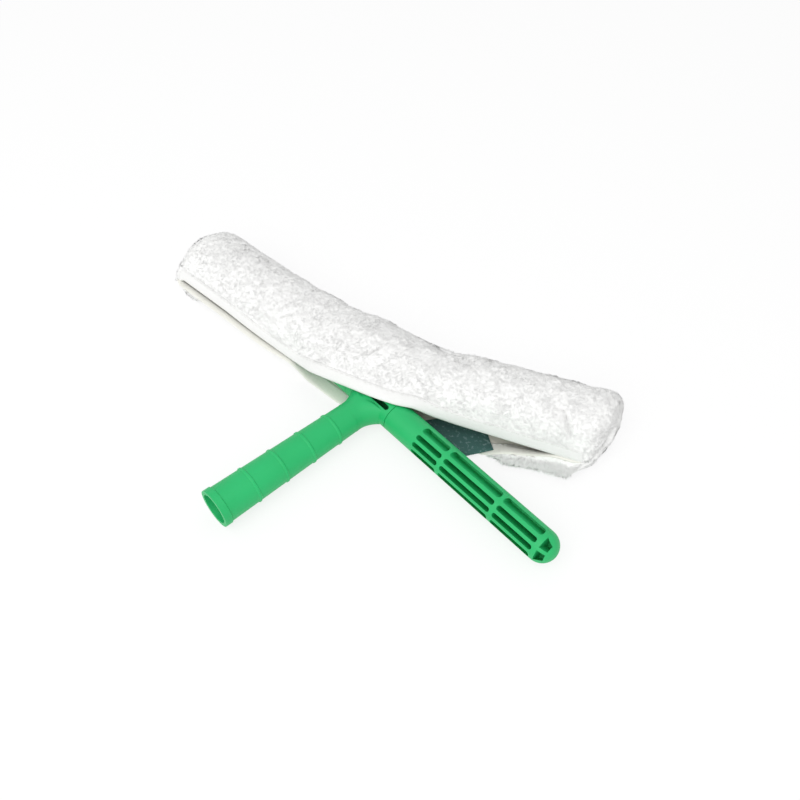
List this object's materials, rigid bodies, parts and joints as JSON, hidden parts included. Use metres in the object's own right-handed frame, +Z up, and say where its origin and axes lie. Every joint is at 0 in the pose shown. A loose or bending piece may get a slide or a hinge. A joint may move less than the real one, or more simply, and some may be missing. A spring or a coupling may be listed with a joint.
{
  "type": "window scrubber",
  "caption": "Window scrubber: a plastic T-bar with a ribbed pole-socket handle and slotted arms, half out of its white plush sleeve, which swings and draws on or off.",
  "frame": {"origin": "centre of the pole socket's mouth, on the handle's axis", "axes": "+Y along the handle to the crossbar, +X along the right arm, +Z up from the surface the scrubber lies on"},
  "size_m": [0.3792, 0.2623, 0.0426],
  "materials": {
    "bar_plastic": "moulded, semi-gloss",
    "plush": "long looped pile",
    "hem_tape": "woven tape",
    "label_cloth": "woven, bare"
  },
  "bodies": {
    "t_bar": {"handle": "bar_plastic", "left_arm": "bar_plastic", "right_arm": "bar_plastic"},
    "pocket": {"left_pocket": "plush", "left_hem": "hem_tape"},
    "sleeve_middle": {"middle_panel": "plush", "middle_upper_hem": "hem_tape", "middle_lower_hem": "hem_tape"},
    "sleeve_right": {"right_panel": "plush", "right_pocket": "plush", "right_upper_hem": "hem_tape", "right_lower_hem": "hem_tape", "right_pocket_hem": "hem_tape", "label": "label_cloth"}
  },
  "joints": [
    {"name": "sleeve_draw", "type": "slide", "parent": "t_bar", "child": "pocket", "axis": [-1, 0, 0], "range_m": [-0.0271, 0.01735]},
    {"name": "sleeve_swing", "type": "hinge", "parent": "pocket", "child": "sleeve_middle", "pos_m": [-0.1, 0.14135, 0], "axis": [0, 0, 1], "range_deg": [-12.5, 8], "deforming": ["right_pocket", "right_pocket_hem"]},
    {"name": "sleeve_bend", "type": "hinge", "parent": "sleeve_middle", "child": "sleeve_right", "pos_m": [-0.01018, 0.16126, 0], "axis": [0, 0, 1], "range_deg": [-15.05, 9.65]}
  ],
  "couplings": [
    {"joint": "sleeve_bend", "follows": "sleeve_swing", "ratio": 1.2},
    {"joint": "sleeve_draw", "follows": "sleeve_swing", "m_per_rad": 0.12376}
  ]
}
